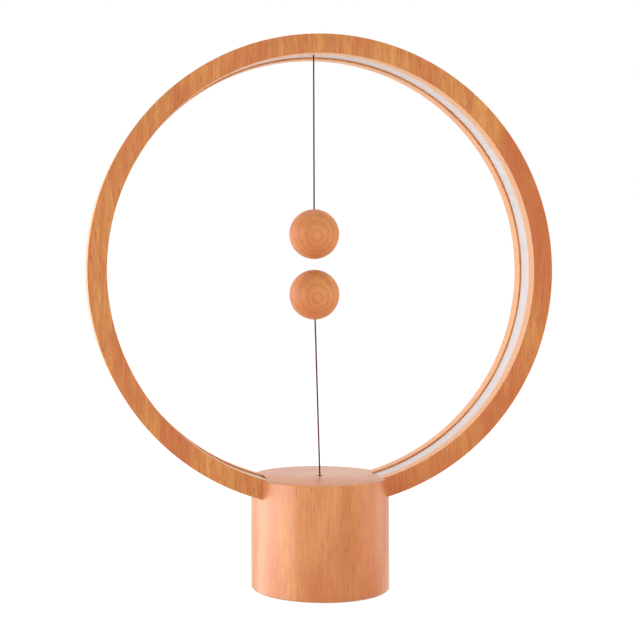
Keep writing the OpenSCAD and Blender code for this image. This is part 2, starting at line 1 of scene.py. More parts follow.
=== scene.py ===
"""Magnetic balance lamp: the looks of the ring, base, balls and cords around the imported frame.

Every length is written in millimetres and turned to metres by mm(). The frame's origin is on the resting
plane under the middle of the base, +Z is up, the ring lies in the XZ plane and -Y is the front.
"""

import json
import logging
import math
from dataclasses import dataclass, field
from enum import Enum
from typing import Callable, Optional, Union

import bmesh
import bpy
from mathutils import Euler, Matrix, Vector

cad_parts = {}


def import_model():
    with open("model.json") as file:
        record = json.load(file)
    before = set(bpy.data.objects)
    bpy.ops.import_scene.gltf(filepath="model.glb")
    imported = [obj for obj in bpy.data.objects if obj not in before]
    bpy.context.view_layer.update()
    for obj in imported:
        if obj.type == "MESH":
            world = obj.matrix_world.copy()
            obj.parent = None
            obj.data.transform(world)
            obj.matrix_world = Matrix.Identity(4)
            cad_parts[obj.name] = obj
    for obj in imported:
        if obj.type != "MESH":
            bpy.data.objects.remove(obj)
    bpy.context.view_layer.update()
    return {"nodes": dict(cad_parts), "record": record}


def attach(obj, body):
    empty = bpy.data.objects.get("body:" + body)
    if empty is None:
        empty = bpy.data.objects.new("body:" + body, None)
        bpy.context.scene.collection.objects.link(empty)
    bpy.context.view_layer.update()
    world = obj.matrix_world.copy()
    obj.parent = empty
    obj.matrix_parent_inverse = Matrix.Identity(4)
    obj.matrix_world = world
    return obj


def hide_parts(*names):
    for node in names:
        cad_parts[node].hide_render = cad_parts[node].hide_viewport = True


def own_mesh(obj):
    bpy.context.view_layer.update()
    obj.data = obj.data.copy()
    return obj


LOG = logging.getLogger("balance_lamp")

Point = tuple[float, float, float]
Profile = list[tuple[float, float]]
Colour = tuple[float, float, float, float]
Tree = bpy.types.NodeTree
Socket = bpy.types.NodeSocket
Tone = Union[Colour, Socket]             # one colour, or the socket that gives a changing one
Inputs = dict[Union[str, int], object]   # sockets, by name or number, to what goes into them

WAVE_EVERY = 2.0 * math.pi / 20.0        # a Wave Texture of scale 1 has a line this often, in metres
SHARE, UNDER, OVER, MIXED = 0, 6, 7, 2   # a Mix node's sockets for colours: three inputs and the output


def mm(value: float) -> float:
    """Millimetres in metres."""
    return value / 1000.0


def mm3(x: float, y: float, z: float) -> Vector:
    """A point given in millimetres, in metres."""
    return Vector((mm(x), mm(y), mm(z)))


def linear(hex_colour: str) -> Colour:
    """An sRGB hex colour as the linear colour that a shader takes.

    Args:
        hex_colour: six hex digits after a hash sign, such as "#d6935c".

    Returns:
        Red, green, blue and an alpha of 1.
    """
    parts = [int(hex_colour[i:i + 2], 16) / 255.0 for i in (1, 3, 5)]
    red, green, blue = (c / 12.92 if c <= 0.04045 else ((c + 0.055) / 1.055) ** 2.4 for c in parts)
    return (red, green, blue, 1.0)


def per_mm(feature: float) -> float:
    """The texture scale at which one feature of a noise is this many millimetres wide."""
    return 1000.0 / feature


def ring_scale(spacing: float) -> float:
    """The scale at which a Wave Texture's lines lie this many millimetres apart."""
    return WAVE_EVERY / mm(spacing)


@dataclass(frozen=True)
class Sizes:
    """The part's driving sizes in millimetres, as its source has them, and what follows from them."""

    ring_d: float = 340.0
    ring_w: float = 14.0             # as seen from the front
    ring_depth: float = 42.0
    ring_sink: float = 19.6          # from the base's top down to the ring's lowest point, were it whole
    groove_w: float = 19.5
    groove_deep: float = 8.0
    ring_end_x: float = 30.0         # from the middle to the ring's ends, inside the base
    diffuser_t: float = 2.0
    diffuser_recess: float = 1.3     # from the ring's inner face to the diffuser's
    diffuser_clear: float = 0.1      # on each side of the diffuser in its groove
    base_h: float = 81.8
    ball_d: float = 36.5
    upper_ball_up: float = 26.0      # over the ring's centre
    lower_ball_down: float = 18.3    # under the ring's centre
    ball_x: float = -3.6
    hole_x: float = 0.0              # the lower cord's hole in the base
    cord_d: float = 1.2
    bead_trim: float = 0.1           # the bead at a cord's bend has this much less radius than the cord
    bend_clear: float = 0.1          # added room between that bead and the face that the cord comes out of
    ball_drop: float = 109.0         # the lower ball sinks this far
    touch: float = 0.02              # between faces of different bodies that meet

    @property
    def ring_z(self) -> float:
        """Height of the ring's centre."""
        return self.base_h - self.ring_sink + self.ring_d / 2.0

    @property
    def ring_in(self) -> float:
        """Radius of the ring's inner face."""
        return self.ring_d / 2.0 - self.ring_w

    @property
    def bend_gap(self) -> float:
        """From a cord's flexing point to its straight stretch."""
        return self.cord_d / 2.0 - self.bead_trim + self.touch

    @property
    def upper_bend(self) -> Point:
        """Where the upper cord bends, just under the diffuser.

        Returns:
            The place, in millimetres.
        """
        reach = self.ring_in + self.diffuser_recess
        height = math.sqrt(reach ** 2 - self.ball_x ** 2)
        return (self.ball_x, 0.0, self.ring_z + height - self.bend_gap - self.bend_clear)

    @property
    def lower_bend(self) -> Point:
        """Where the lower cord bends, just over the base."""
        return (self.hole_x, 0.0, self.base_h + self.bend_gap + self.bend_clear)

    @property
    def upper_ball(self) -> Point:
        """The upper ball's centre."""
        return (self.ball_x, 0.0, self.ring_z + self.upper_ball_up)

    @property
    def lower_ball(self) -> Point:
        """The lower ball's centre."""
        return (self.ball_x, 0.0, self.ring_z - self.lower_ball_down)

    @property
    def lower_way(self) -> Vector:
        """The lower cord's direction, from its bend up to its ball."""
        return (mm3(*self.lower_ball) - mm3(*self.lower_bend)).normalized()


SIZES = Sizes()

# ---------------------------------------------------------------- finishes


def add(tree: Tree, kind: str, inputs: Optional[Inputs] = None, **settings: object) -> bpy.types.Node:
    """Adds a shader node with its settings and links.

    Args:
        tree: the material's node tree.
        kind: the node's type name.
        inputs: socket name or number to a value, or to the output socket that feeds it.
        settings: the node's own properties.

    Returns:
        The new node.
    """
    made = tree.nodes.new(kind)
    for name, value in settings.items():
        setattr(made, name, value)
    for socket, value in (inputs or {}).items():
        if isinstance(value, Socket):
            tree.links.new(value, made.inputs[socket])
        else:
            made.inputs[socket].default_value = value
    return made


def surface(name: str, **sockets: object) -> tuple[bpy.types.Material, Tree, bpy.types.Node]:
    """A new material with a Principled surface.

    Args:
        name: the finish's name.
        sockets: Principled sockets to their values, with underscores for the spaces.

    Returns:
        The material, its node tree and the Principled node.
    """
    material = bpy.data.materials.new(name)
    material.use_nodes = True
    tree = material.node_tree
    tree.nodes.clear()
    shader = add(tree, "ShaderNodeBsdfPrincipled")
    for socket, value in sockets.items():
        shader.inputs[socket.replace("_", " ")].default_value = value
    add(tree, "ShaderNodeOutputMaterial", {"Surface": shader.outputs["BSDF"]})
    return material, tree, shader


@dataclass(frozen=True)
class Layer:
    """A second tone that comes in smoothly over a first one, as a pattern goes from one value to another."""

    start: float                 # the pattern's value at which the tone starts to show
    full: float                  # the value from which it shows in full
    share: float = 1.0           # how much of it shows there

    def over(self, tree: Tree, pattern: Socket, under: Tone, tone: Tone) -> Socket:
        """Lays the tone over another.

        Args:
            tree: the material's node tree.
            pattern: the socket that gives the pattern's value.
            under: the tone underneath.
            tone: the tone that lies over it.

        Returns:
            The socket that gives the two tones together.
        """
        shown = add(tree, "ShaderNodeMapRange",
                    {"Value": pattern, "From Min": self.start, "From Max": self.full, "To Max": self.share},
                    interpolation_type="SMOOTHSTEP")
        both = add(tree, "ShaderNodeMix", {SHARE: shown.outputs["Result"], UNDER: under, OVER: tone},
                   data_type="RGBA")
        return both.outputs[MIXED]


@dataclass(frozen=True)
class Texture:
    """What a surface's pattern does to its gloss and its relief."""

    smooth: float                # the roughness where the pattern is low
    rough: float                 # and where it is high
    strength: float              # how strongly the relief shows
    depth: float                 # mm, the relief's depth

    LOW, HIGH = 0.3, 0.7         # nearly all of a noise's values lie between these

    def onto(self, tree: Tree, shader: bpy.types.Node, pattern: Socket) -> None:
        """Lets a pattern show in a surface's gloss and relief.

        Args:
            tree: the material's node tree.
            shader: its Principled node.
            pattern: the socket that gives the pattern's value.
        """
        gloss = add(tree, "ShaderNodeMapRange",
                    {"Value": pattern, "From Min": self.LOW, "From Max": self.HIGH,
                     "To Min": self.smooth, "To Max": self.rough}, interpolation_type="SMOOTHSTEP")
        bump = add(tree, "ShaderNodeBump",
                   {"Height": pattern, "Strength": self.strength, "Distance": mm(self.depth)})
        tree.links.new(gloss.outputs["Result"], shader.inputs["Roughness"])
        tree.links.new(bump.outputs["Normal"], shader.inputs["Normal"])


class Cut(Enum):
    """How a piece of wood was cut from the log."""

    FLAT_BOARD = "flat board: its grain is laid out in the lamp's own frame"
    TURNED = "turned from its own blank: its grain is laid out from the blank's place in the log"


@dataclass(frozen=True)
class Wood:
    """Beech sanded fine and oiled: a warm orange brown with short dark flecks along a straight grain."""

    name: str
    light: str                   # the paler stretches
    dark: str                    # the darker ones, and a board's growth lines
    fleck: str                   # fibres, flecks and a turned piece's growth lines
    cut: Cut
    pith: Point                  # a point on the log's middle line
    turn: Point                  # lays that line along Z
    ring_gap: float              # between two growth lines
    streak: float = 0.5          # how strongly the growth lines show
    roughness: float = 0.36
    coat: float = 0.2            # the sheen of the oil on top
    edge: str = ""               # the paler tone of a board's edges and outer side, if they have one: a little of it the wood's own, most of it painted light

    OIL_IOR = 1.48
    SPECULAR = 0.2
    COAT_ROUGHNESS = 0.28
    WAVER = 3.2                  # how strongly the growth lines waver
    WAVER_LONG = 26.0            # mm
    WAVER_ROUGHNESS = 0.62
    LINES_FROM, LINES_TO = 0.2, 1.0  # the wave's values between which a growth line comes in
    CLOUD_WIDE = 38.0            # mm, the slow change of colour over a board
    CLOUD_LONG = 114.0           # mm
    FIBRE_WIDE = 0.45            # mm; beech fibres are finer, this is as fine as shows in the render
    FIBRE_LONG = 22.0            # mm
    FLECK_WIDE = 0.75            # mm; beech flecks are finer too
    FLECK_LONG = 9.0             # mm
    CLOUDS = Layer(0.3, 0.7)
    FIBRES = Layer(0.35, 0.7, 0.5)
    FLECKS = Layer(0.56, 0.72, 0.6)
    EDGE_FIBRES = Layer(0.3, 0.7, 0.5)
    EDGE_FLECKS = Layer(0.56, 0.72, 0.3)
    PALE_LIT_EDGES = Layer(0.6, 0.1, 0.85)    # by the square of the normal's Y, which is 1 on a face and 0 on an edge; the paler edges are partly painted light
    SMOOTHER, ROUGHER = 0.05, 0.1    # how far the roughness leaves its middle, down and up
    PORE_STRENGTH = 0.12
    PORE_DEPTH = 0.08            # mm
    BLANK = "blank"              # the attribute with each point's place in the balls' log

    def material(self) -> bpy.types.Material:
        """Builds the wood's material.

        Returns:
            A material whose grain runs along the local Z after the piece's own turn.
        """
        material, tree, shader = surface(
            self.name, Roughness=self.roughness, IOR=self.OIL_IOR, Specular_IOR_Level=self.SPECULAR,
            Coat_Weight=self.coat, Coat_Roughness=self.COAT_ROUGHNESS)
        log = self.log(tree)
        fibre = self.stretched(tree, log, self.FIBRE_WIDE, self.FIBRE_LONG, 4.0)
        fleck = self.stretched(tree, log, self.FLECK_WIDE, self.FLECK_LONG, 1.0)
        tone = self.face_tone(tree, log, fibre, fleck)
        # the paler edges and sides: partly the wood's own tone, partly painted light
        if self.edge:
            tone = self.with_pale_lit_edges(tree, tone, fibre, fleck)
        tree.links.new(tone, shader.inputs["Base Color"])
        pores = Texture(self.roughness - self.SMOOTHER, self.roughness + self.ROUGHER,
                        self.PORE_STRENGTH, self.PORE_DEPTH)
        pores.onto(tree, shader, fibre)
        return material

    def log(self, tree: Tree) -> Socket:
        """Lays the log out round the piece.

        Args:
            tree: the material's node tree.

        Returns:
            The socket that gives each point's place in the log, with the pith along Z.
        """
        if self.cut is Cut.TURNED:
            place = add(tree, "ShaderNodeAttribute", attribute_name=self.BLANK).outputs["Vector"]
        else:
            place = add(tree, "ShaderNodeTexCoord").outputs["Object"]
        centred = add(tree, "ShaderNodeMapping", {"Vector": place, "Location": [-mm(p) for p in self.pith]})
        turned = add(tree, "ShaderNodeMapping", {"Vector": centred.outputs["Vector"], "Rotation": self.turn})
        return turned.outputs["Vector"]

    def face_tone(self, tree: Tree, log: Socket, fibre: Socket, fleck: Socket) -> Socket:
        """The wood's colour: slow clouds, growth lines, fibres and flecks.

        Args:
            tree: the material's node tree.
            log: the place in the log.
            fibre: the noise of the fibres.
            fleck: the noise of the flecks.

        Returns:
            The socket that gives the colour.
        """
        light, dark, deep = linear(self.light), linear(self.dark), linear(self.fleck)
        cloud = self.stretched(tree, log, self.CLOUD_WIDE, self.CLOUD_LONG, 3.0)
        scale = ring_scale(self.ring_gap)
        grain = add(tree, "ShaderNodeTexWave",
                    {"Vector": log, "Scale": scale, "Distortion": self.WAVER,
                     "Detail": 3.0, "Detail Scale": per_mm(self.WAVER_LONG) / scale,
                     "Detail Roughness": self.WAVER_ROUGHNESS},
                    wave_type="RINGS", rings_direction="Z", wave_profile="SAW")
        lines = Layer(self.LINES_FROM, self.LINES_TO, self.streak)
        tone = self.CLOUDS.over(tree, cloud, light, dark)
        tone = lines.over(tree, grain.outputs["Fac"], tone, deep if self.cut is Cut.TURNED else dark)
        tone = self.FIBRES.over(tree, fibre, tone, deep)
        return self.FLECKS.over(tree, fleck, tone, deep)

    def with_pale_lit_edges(self, tree: Tree, face: Socket, fibre: Socket, fleck: Socket) -> Socket:
        """Gives a board's edges and sides their paler colour, partly the wood's own tone and partly painted
        light from the left, with the same fibres and flecks. Its faces look along Y.

        Args:
            tree: the material's node tree.
            face: the colour of the faces.
            fibre: the noise of the fibres.
            fleck: the noise of the flecks.

        Returns:
            The socket that gives the colour of faces and edges.
        """
        edge_tone_and_light = self.EDGE_FIBRES.over(tree, fibre, linear(self.edge), linear(self.light))
        edge_tone_and_light = self.EDGE_FLECKS.over(tree, fleck, edge_tone_and_light, linear(self.dark))
        normal = add(tree, "ShaderNodeTexCoord").outputs["Normal"]
        along = add(tree, "ShaderNodeSeparateXYZ", {"Vector": normal}).outputs["Y"]
        square = add(tree, "ShaderNodeMath", {0: along, 1: along}, operation="MULTIPLY")
        return self.PALE_LIT_EDGES.over(tree, square.outputs[0], face, edge_tone_and_light)

    @staticmethod
    def stretched(tree: Tree, place: Socket, wide: float, long: float, detail: float) -> Socket:
        """A noise that is drawn out along the grain.

        Args:
            tree: the material's node tree.
            place: the coordinates, with the grain along Z.
            wide: the width of a feature across the grain, in millimetres.
            long: its length along the grain, in millimetres.
            detail: the noise's detail.

        Returns:
            The socket that gives the noise's value.
        """
        across = per_mm(wide)
        drawn = add(tree, "ShaderNodeMapping", {"Vector": place, "Scale": (across, across, per_mm(long))})
        noise = add(tree, "ShaderNodeTexNoise",
                    {"Vector": drawn.outputs["Vector"], "Scale": 1.0, "Detail": detail, "Roughness": 0.6})
        return noise.outputs["Fac"]


@dataclass(frozen=True)
class Speckled:
    """A plain moulded, pressed or plated surface: one colour with a fine mottle and a light texture."""

    name: str
    colour: str
    shade: str
    roughness: float
    metallic: float = 0.0
    spot: float = 1.2            # mm, a spot of the mottle, coarser than the real one so that it shows
    bump: float = 0.05           # how strongly the texture shows
    subsurface: float = 0.0      # how much light sinks in

    SCATTER = 4.0                # mm, how far that light wanders
    SHADES = Layer(0.35, 0.7)
    SMOOTHER, ROUGHER = 0.04, 0.06   # how far the roughness leaves its middle, down and up
    BUMP_DEPTH = 0.1             # mm

    def material(self) -> bpy.types.Material:
        """Builds the material.

        Returns:
            A material with its mottle, roughness and texture from one noise.
        """
        material, tree, shader = surface(self.name, Roughness=self.roughness, Metallic=self.metallic)
        if self.subsurface:
            shader.inputs["Subsurface Weight"].default_value = self.subsurface
            shader.inputs["Subsurface Radius"].default_value = mm3(self.SCATTER, self.SCATTER, self.SCATTER)
            shader.inputs["Subsurface Scale"].default_value = 1.0
        place = add(tree, "ShaderNodeTexCoord").outputs["Object"]
        noise = add(tree, "ShaderNodeTexNoise", {"Vector": place, "Scale": per_mm(self.spot), "Detail": 3.0})
        tone = self.SHADES.over(tree, noise.outputs["Fac"], linear(self.colour), linear(self.shade))
        tree.links.new(tone, shader.inputs["Base Color"])
        skin = Texture(self.roughness - self.SMOOTHER, self.roughness + self.ROUGHER,
                       self.bump, self.BUMP_DEPTH)
        skin.onto(tree, shader, noise.outputs["Fac"])
        return material


@dataclass(frozen=True)
class Cordage:
    """Waxed polyester cord, three plies laid together: dark maroon on each ply's crown, with painted shade,
    nearly black, in the hollows between the plies.
    """

    name: str
    crown: str
    # the colour between the plies: painted shade
    hollow: str

    ROUGHNESS = 0.65
    SPECULAR = 0.2
    HEIGHT = "height"            # the attribute that is 1 on a ply's crown and 0 between plies, where it lays the painted shade
    TUFT = 0.35                  # mm; the fuzz of single filaments is finer, this shows in a close view
    TUFTS = Layer(0.4, 0.75, 0.3)
    FUZZ_STRENGTH = 0.3
    FUZZ_DEPTH = 0.05            # mm

    def material(self) -> bpy.types.Material:
        """Builds the material.

        Returns:
            A material with painted shade between the plies, and a little fuzzy.
        """
        material, tree, shader = surface(self.name, Roughness=self.ROUGHNESS,
                                         Specular_IOR_Level=self.SPECULAR)
        crown, hollow = linear(self.crown), linear(self.hollow)
        height = add(tree, "ShaderNodeAttribute", attribute_name=self.HEIGHT).outputs["Fac"]
        # painted shade: the hollows between the plies are darker than the crowns
        plies = add(tree, "ShaderNodeMix", {SHARE: height, UNDER: hollow, OVER: crown}, data_type="RGBA")
        place = add(tree, "ShaderNodeTexCoord").outputs["Object"]
        noise = add(tree, "ShaderNodeTexNoise", {"Vector": place, "Scale": per_mm(self.TUFT), "Detail": 2.0})
        fuzz = noise.outputs["Fac"]
        tone = self.TUFTS.over(tree, fuzz, plies.outputs[MIXED], hollow)
        tree.links.new(tone, shader.inputs["Base Color"])
        bump = add(tree, "ShaderNodeBump",
                   {"Height": fuzz, "Strength": self.FUZZ_STRENGTH, "Distance": mm(self.FUZZ_DEPTH)})
        tree.links.new(bump.outputs["Normal"], shader.inputs["Normal"])
        return material


UPRIGHT: Point = (0.0, 0.0, 0.0)
TOWARDS_CAMERA: Point = (math.radians(66.0), 0.0, math.radians(-10.0))   # lays a log roughly end on to it
BALL_LOG = Euler(TOWARDS_CAMERA).to_matrix().transposed() @ Vector((0.0, 0.0, 1.0))   # along the balls' log

FINISHES = {
    # Straight upright grain on the ring's faces, and paler lips and sides, partly the wood's own tone and
    # partly painted light
    "ring_wood": Wood("oiled_beech_board", "#e2a459", "#c9723f", "#ab5a33", Cut.FLAT_BOARD,
                      pith=(210.0, 160.0, 0.0), turn=UPRIGHT, ring_gap=7.5, edge="#e9b68f"),
    # The same grain under a fuller coat of oil, for a broad soft sheen on the side that faces the light
    "base_wood": Wood("oiled_beech_block", "#e29b57", "#cb7a42", "#b06238", Cut.FLAT_BOARD,
                      pith=(36.0, 84.0, 0.0), turn=UPRIGHT, ring_gap=6.0, streak=0.4, coat=0.6),
    # End grain towards the front, so that each ball shows faint growth rings, and hardly any shine
    "ball_wood": Wood("oiled_beech_ball", "#ecaa66", "#d98853", "#b56a40", Cut.TURNED,
                      pith=(-1.0, 0.0, 6.0), turn=TOWARDS_CAMERA, ring_gap=4.4, streak=0.34, roughness=0.6,
                      coat=0.18),
    # An even, slightly cool white that light sinks into
    "diffuser_milk": Speckled("milky_silicone", "#d3d0d4", "#d0cdd1", 0.5, spot=14.0, bump=0.01,
                              subsurface=0.15),
    # So dark a red that the thin cord reads as nearly black from afar, with painted shade between its plies
    "cord_maroon": Cordage("waxed_maroon_cord", "#74121c", "#2a0609"),
    # Dull and dark, with a rough nap
    "felt": Speckled("pressed_felt", "#3d3936", "#2a2725", 0.95, spot=0.6, bump=0.4),
    # Pale and dry beside the oiled wood
    "plywood": Speckled("raw_plywood", "#b08b62", "#94704b", 0.7, spot=3.0),
    # A small dark rim round the cord, half dull
    "bush_dark": Speckled("moulded_nylon_dark", "#2c2220", "#1d1614", 0.45),
    # Even black with a soft shine
    "inlet_black": Speckled("moulded_abs_black", "#202022", "#161618", 0.4),
    # Black and a little chalky
    "component_black": Speckled("moulded_epoxy_black", "#252527", "#18181a", 0.5),
    # Deep green under a smooth skin
    "board_green": Speckled("solder_mask_green", "#2b6a44", "#225537", 0.35, spot=4.0),
    # Clean bright metal
    "screw_steel": Speckled("bright_zinc_steel", "#c9ccd0", "#b3b7bc", 0.28, metallic=1.0),
    # Greyer metal with broad, faint clouds
    "zinc_steel": Speckled("zinc_plated_sheet", "#b9bcc0", "#a3a7ab", 0.36, metallic=1.0, spot=3.0),
    # Dark metal, rough from the mould
    "weight_iron": Speckled("raw_cast_iron", "#5b5e62", "#46494c", 0.6, metallic=0.8, bump=0.3),
    # Flat clean white
    "tape_white": Speckled("white_strip_tape", "#f0f0ea", "#e6e6df", 0.45),
    # Soft yellow that light sinks into a little
    "led_phosphor": Speckled("yellow_phosphor", "#f3e48f", "#e8d574", 0.3, subsurface=0.1),
    # Smooth, slightly shiny sleeves, one red and one blue
    "wire_red": Speckled("pvc_wire_red", "#b5342a", "#982920", 0.35),
    "wire_blue": Speckled("pvc_wire_blue", "#2f6fae", "#245a90", 0.35),
    # Warm yellow metal, bright from the lathe
    "standoff_brass": Speckled("turned_brass", "#d3ab58", "#bf964a", 0.3, metallic=1.0),
    # Waxy off-white
    "plunger_plastic": Speckled("moulded_acetal", "#d9d3c6", "#cbc4b5", 0.35),
    # Nearly a mirror
    "magnet_nickel": Speckled("nickel_plate", "#cfd1d3", "#c2c5c8", 0.14, metallic=1.0, spot=6.0),
}


@dataclass
class Paint:
    """Makes each finish's material once and hands it out."""

    made: dict[str, bpy.types.Material] = field(default_factory=dict)

    def of(self, slot: str) -> bpy.types.Material:
        """The material of a slot of the record.

        Args:
            slot: the slot's name.

        Returns:
            Its material, made when it is first asked for.
        """
        if slot not in self.made:
            self.made[slot] = FINISHES[slot].material()
        return self.made[slot]

    def cover(self, piece: bpy.types.Object, slot: str) -> None:
        """Gives a piece the material of a slot, in place of any other.

        Args:
            piece: the piece or CAD node.
            slot: the record's material slot.
        """
        piece.data.materials.clear()
        piece.data.materials.append(self.of(slot))


# ---------------------------------------------------------------- making meshes

SHARP, COPY_SHARP = 35.0, 25.0           # degrees; faces that meet at more than this keep a hard edge
SPUN_MERGE, COPY_MERGE = 0.001, 0.002    # mm; points that are closer become one
SPUN_SLIVER = 0.0005                     # mm; shorter edges are taken out
COPY_FLAT = 0.4                          # degrees; faces that meet at less become one


def arc(centre: tuple[float, float], radius: float, start: float, end: float, steps: int) -> Profile:
    """Points along an arc, in degrees from start to end, both ends included."""
    turns = [math.radians(start + (end - start) * i / steps) for i in range(steps + 1)]
    return [(centre[0] + radius * math.cos(t), centre[1] + radius * math.sin(t)) for t in turns]


def spun(name: str, profile: Profile, axis: Vector, centre: Vector, place: Callable[[float, float], Vector],
         angle: float, steps: int) -> bpy.types.Object:
    """Spins a closed outline round an axis into a solid.

    Args:
        name: the new object's name.
        profile: the outline's points, in millimetres, in order.
        axis: the axis that it turns about.
        centre: a point on that axis.
        place: gives an outline point's place in the frame, in metres.
        angle: how far it turns, in degrees; 360 closes the solid on itself.
        steps: the number of steps of the spin.

    Returns:
        The new object.
    """
    work = bmesh.new()
    start = [work.verts.new(place(*point)) for point in profile]
    edges = [work.edges.new((start[i], start[(i + 1) % len(start)])) for i in range(len(start))]
    full = abs(angle) >= 360.0
    turned = bmesh.ops.spin(work, geom=start + edges, cent=centre, axis=axis, dvec=(0.0, 0.0, 0.0),
                            angle=math.radians(angle), steps=steps, use_merge=full, use_duplicate=False)
    if not full:
        last = [e for e in turned["geom_last"] if isinstance(e, bmesh.types.BMEdge)]
        for rim in (edges, last):
            bmesh.ops.contextual_create(work, geom=rim)
    bmesh.ops.remove_doubles(work, verts=work.verts, dist=mm(SPUN_MERGE))
    bmesh.ops.dissolve_degenerate(work, edges=work.edges, dist=mm(SPUN_SLIVER))
    bmesh.ops.recalc_face_normals(work, faces=work.faces)
    return finished(name, work)


def finished(name: str, work: bmesh.types.BMesh, sharp: float = SHARP) -> bpy.types.Object:
    """Writes a bmesh to a new object and frees it.

    Args:
        name: the new object's name.
        work: the bmesh.
        sharp: faces that meet at more than this many degrees keep a hard edge, and the rest are smooth.

    Returns:
        The new object.
    """
    limit = math.radians(sharp)
    for face in work.faces:
        face.smooth = True
    for edge in work.edges:
        edge.smooth = len(edge.link_faces) == 2 and edge.calc_face_angle(0.0) < limit
    mesh = bpy.data.meshes.new(name)
    work.to_mesh(mesh)
    work.free()
    piece = bpy.data.objects.new(name, mesh)
    bpy.context.scene.collection.objects.link(piece)
    return piece


def merged_copy(name: str, node: str) -> bpy.types.Object:
    """A smooth shaded copy of a CAD node, with its loose triangles joined up.

    Args:
        name: the new object's name.
        node: the CAD node.

    Returns:
        The new object.
    """
    work = bmesh.new()
    work.from_mesh(bpy.data.objects[node].data)
    bmesh.ops.remove_doubles(work, verts=work.verts, dist=mm(COPY_MERGE))
    bmesh.ops.dissolve_limit(work, angle_limit=math.radians(COPY_FLAT), verts=work.verts, edges=work.edges)
    return finished(name, work, COPY_SHARP)


@dataclass
class Assembly:
    """A sub-assembly of the lamp: it makes pieces, dresses them and sets them on their bodies."""

    paint: Paint

    def settle(self, piece: bpy.types.Object, body: str, slot: str, node: str) -> None:
        """Dresses a piece, lets it ride on a body and stand for a CAD node, and reports it.

        Args:
            piece: the new piece, in place.
            body: the CAD body that it moves with.
            slot: the record's material slot.
            node: the CAD node that it replaces.
        """
        self.paint.cover(piece, slot)
        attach(piece, body)
        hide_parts(node)
        LOG.info("%s: %d faces on %s", piece.name, len(piece.data.polygons), body)


# ---------------------------------------------------------------- camera and light


@dataclass(frozen=True)
class Panel:
    """A soft light panel that looks at the lamp's middle, with its place and size in millimetres."""

    name: str
    at: Point
    wide: float
    high: float
    watts: float
    colour: str = "#ffffff"
    sheen_only: bool = False     # it is only mirrored in the oil's sheen, and lights nothing

    AIM = (0.0, 0.0, 200.0)      # mm

    def hang(self) -> None:
        """Adds the panel to the scene."""
        data = bpy.data.lights.new(self.name, "AREA")
        data.shape = "RECTANGLE"
        data.energy = self.watts
        data.size = mm(self.wide)
        data.size_y = mm(self.high)
        data.color = linear(self.colour)[:3]
        light = bpy.data.objects.new(self.name, data)
        bpy.context.scene.collection.objects.link(light)
        light.location = mm3(*self.at)
        light.visible_diffuse = not self.sheen_only
        way = mm3(*self.AIM) - light.location
        light.rotation_euler = way.to_track_quat("-Z", "Y").to_euler()


# Each panel's place, width, height, watts and colour. Most light comes from the left, and the sheen panel
# reaches below the floor, so that it is mirrored in the base's side right down to the foot.
PANELS = (
    Panel("left_wall", (-1300.0, 250.0, 350.0), 2900.0, 900.0, 17.0, "#fffdf8"),
    Panel("left_sheen", (-1290.0, 75.0, 0.0), 2150.0, 1600.0, 44.0, sheen_only=True),
    Panel("front_fill", (-300.0, -1700.0, 500.0), 2600.0, 1500.0, 10.8),
    Panel("top_soft", (-100.0, 300.0, 1400.0), 900.0, 900.0, 7.5, "#ffeee6"),
    Panel("right_strip", (1150.0, -150.0, 300.0), 1300.0, 900.0, 7.4, "#ffe9d8"),
)


